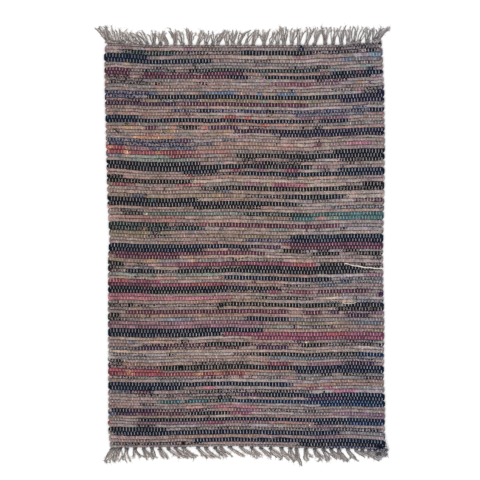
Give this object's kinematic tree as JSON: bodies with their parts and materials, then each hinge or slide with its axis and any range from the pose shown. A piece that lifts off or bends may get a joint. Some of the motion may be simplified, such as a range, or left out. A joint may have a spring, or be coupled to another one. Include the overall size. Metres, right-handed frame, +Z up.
{
  "type": "rag rug",
  "caption": "Flat rectangular rag rug in a weft-faced plain weave, mottled taupe with broken dark and coloured rag stripes and a short knotted fringe along both ends.",
  "frame": {"origin": "on the floor at the middle of the footprint, fringe included", "axes": "+Z up off the floor, +Y along the rug towards its top end, +X across the rug to the right"},
  "size_m": [0.6336, 0.9534, 0.0069],
  "materials": {
    "rag_weave": "matt, uneven cotton rags in taupe, navy, black and scattered colours",
    "warp_cotton": "matt taupe cotton yarn, frayed at the tips"
  },
  "bodies": {
    "root": {"rug_body": "rag_weave", "fringe_top": "warp_cotton", "fringe_bottom": "warp_cotton"}
  },
  "joints": []
}
